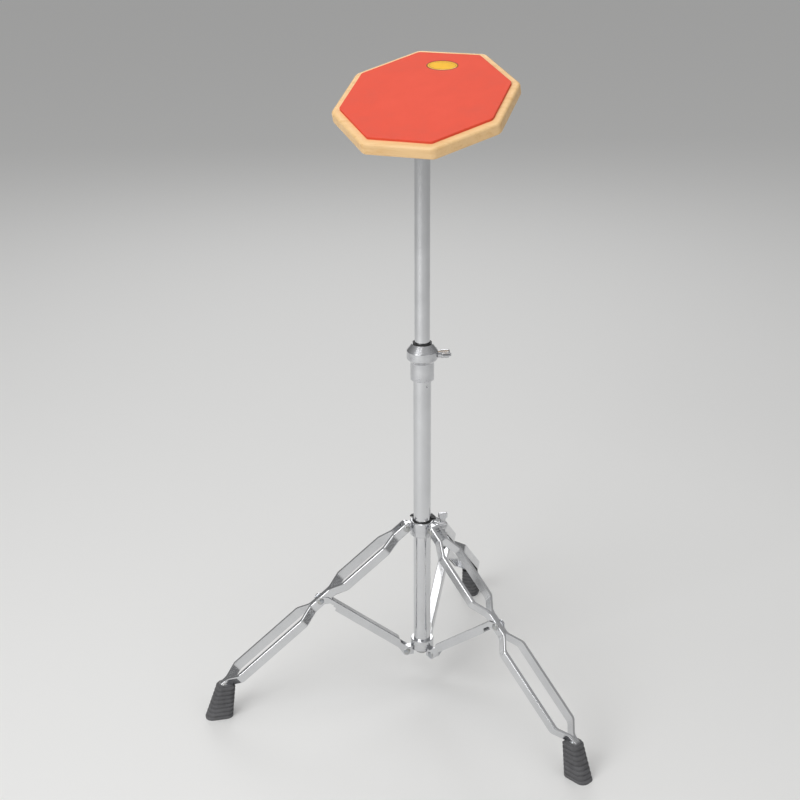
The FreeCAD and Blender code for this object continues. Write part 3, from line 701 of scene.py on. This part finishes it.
class PADSTAND_OT_fasteners(bpy.types.Operator):
    """Make the threaded tilter bolt and the chamfered lock nut"""

    bl_idname = "padstand.fasteners"
    bl_label = "Fasteners"

    def execute(self, context):
        zinc = zinc_plated_steel()
        make_tilter_bolt(zinc)
        make_lock_nut(zinc)
        return {"FINISHED"}


class PADSTAND_OT_metal(bpy.types.Operator):
    """Give every carried-over node of the stand its finish"""

    bl_idname = "padstand.metal"
    bl_label = "Metal and nylon finishes"

    def execute(self, context):
        finishes = {"chrome_steel": chrome_plated_steel(), "chrome_casting": chrome_plated_casting(),
                    "zinc_steel": zinc_plated_steel(), "black_nylon": moulded_nylon()}
        for node, item in frame["nodes"].items():
            finish = finishes.get(SLOTS[node])
            if finish is None:
                continue
            if not item.material_slots:
                item.data.materials.append(finish)
            for slot in item.material_slots:
                slot.material = finish
        return {"FINISHED"}


STAND_MIDDLE = Vector((0, 0, 0.42))
# Softboxes that point at the middle of the stand: name, offset from there, width, and power as a
# share of the key light's.
LIGHTS = (("key", (-0.9, -2.2, 1.3), 1.5, 1.0), ("fill", (2.0, -1.3, 1.0), 1.4, 0.12),
          ("rim", (-0.8, 2.2, 1.5), 1.2, 0.35), ("top", (-0.2, -0.4, 2.2), 1.6, 0.5))
WORLD_STRENGTH = 0.78
FLOOR_RADIUS = 40.0
CAMERA_PLACE = (0.4573, -1.6209, 1.0985)
CAMERA_LOOK = Vector((-0.26659, 0.88858, -0.37331))
CAMERA_ROLL = math.radians(-0.32)


class PADSTAND_OT_stage(bpy.types.Operator):
    """Set the floor, the lights and the camera"""

    bl_idname = "padstand.stage"
    bl_label = "Stage"

    def execute(self, context):
        settings = context.scene.pad_stand_stage
        make_floor(settings)
        for name, offset, size, power in LIGHTS:
            light = bpy.data.lights.new(name, "AREA")
            light.size = size
            light.energy = settings.key_power * power
            lamp = bpy.data.objects.new(name, light)
            lamp.location = STAND_MIDDLE + Vector(offset)
            lamp.rotation_euler = (-Vector(offset)).to_track_quat("-Z", "Y").to_euler()
            context.scene.collection.objects.link(lamp)
        make_world(context.scene)
        make_camera(context.scene, settings)
        context.scene.view_settings.view_transform = "Standard"
        return {"FINISHED"}


def make_floor(settings):
    """Large plain floor disc."""
    shape = bmesh.new()
    bmesh.ops.create_circle(shape, cap_ends=True, segments=96, radius=FLOOR_RADIUS)
    mesh = bpy.data.meshes.new("floor")
    shape.to_mesh(mesh)
    shape.free()
    material, tree, shader, where = blank("plain_floor")
    shader.inputs["Base Color"].default_value = (*settings.floor_colour, 1)
    shader.inputs["Roughness"].default_value = 0.7
    mesh.materials.append(material)
    floor = bpy.data.objects.new("floor", mesh)
    bpy.context.scene.collection.objects.link(floor)


def make_world(scene):
    """Soft studio surround: bright overhead, greyer towards the horizon."""
    world = bpy.data.worlds.new("studio")
    world.use_nodes = True
    tree = world.node_tree
    up = add(tree, "ShaderNodeSeparateXYZ",
             {"Vector": add(tree, "ShaderNodeTexCoord").outputs["Generated"]}).outputs["Z"]
    shade = ramp(tree, up, [(0.0, grey(0.24)), (0.3, grey(0.3)), (0.8, grey(0.6))])
    tree.links.new(shade.outputs["Color"], tree.nodes["Background"].inputs["Color"])
    tree.nodes["Background"].inputs["Strength"].default_value = WORLD_STRENGTH
    scene.world = world


def make_camera(scene, settings):
    """Camera in front, a little to the right and above the pad, looking down at the stand."""
    camera = bpy.data.cameras.new("camera")
    camera.sensor_width = 36.0
    camera.lens = settings.lens
    camera.clip_end = 200
    view = bpy.data.objects.new("camera", camera)
    view.location = CAMERA_PLACE
    roll = Matrix.Rotation(CAMERA_ROLL, 4, "Z")
    turn = CAMERA_LOOK.to_track_quat("-Z", "Y").to_matrix().to_4x4() @ roll
    view.rotation_euler = turn.to_euler()
    scene.collection.objects.link(view)
    scene.camera = view


class PADSTAND_PT_panel(bpy.types.Panel):
    """Lists the steps that dress the practice pad"""

    bl_idname = "PADSTAND_PT_panel"
    bl_label = "Practice Pad"
    bl_space_type = "VIEW_3D"
    bl_region_type = "UI"
    bl_category = "Practice Pad"

    def draw(self, context):
        layout = self.layout
        for group in SETTINGS:
            settings = getattr(context.scene, group)
            column = layout.column()
            for name in settings.__annotations__:
                column.prop(settings, name)
        for operator in OPERATORS:
            layout.operator(operator.bl_idname)


OPERATORS = (PADSTAND_OT_board, PADSTAND_OT_playing_rubber, PADSTAND_OT_badge, PADSTAND_OT_feet,
             PADSTAND_OT_rivets, PADSTAND_OT_fasteners, PADSTAND_OT_metal, PADSTAND_OT_stage)


def register():
    """Registers the settings, the operators and the panel."""
    for group, settings in SETTINGS.items():
        bpy.utils.register_class(settings)
        setattr(bpy.types.Scene, group, PointerProperty(type=settings))
    for operator in OPERATORS:
        bpy.utils.register_class(operator)
    bpy.utils.register_class(PADSTAND_PT_panel)


def unregister():
    """Undoes register."""
    bpy.utils.unregister_class(PADSTAND_PT_panel)
    for operator in OPERATORS:
        bpy.utils.unregister_class(operator)
    for group, settings in SETTINGS.items():
        delattr(bpy.types.Scene, group)
        bpy.utils.unregister_class(settings)


def main():
    """Dresses the object."""
    register()
    bpy.ops.padstand.board()
    bpy.ops.padstand.playing_rubber()
    bpy.ops.padstand.badge()
    bpy.ops.padstand.feet()
    bpy.ops.padstand.rivets()
    bpy.ops.padstand.fasteners()
    bpy.ops.padstand.metal()
    bpy.ops.padstand.stage()


if __name__ == "__main__":
    main()
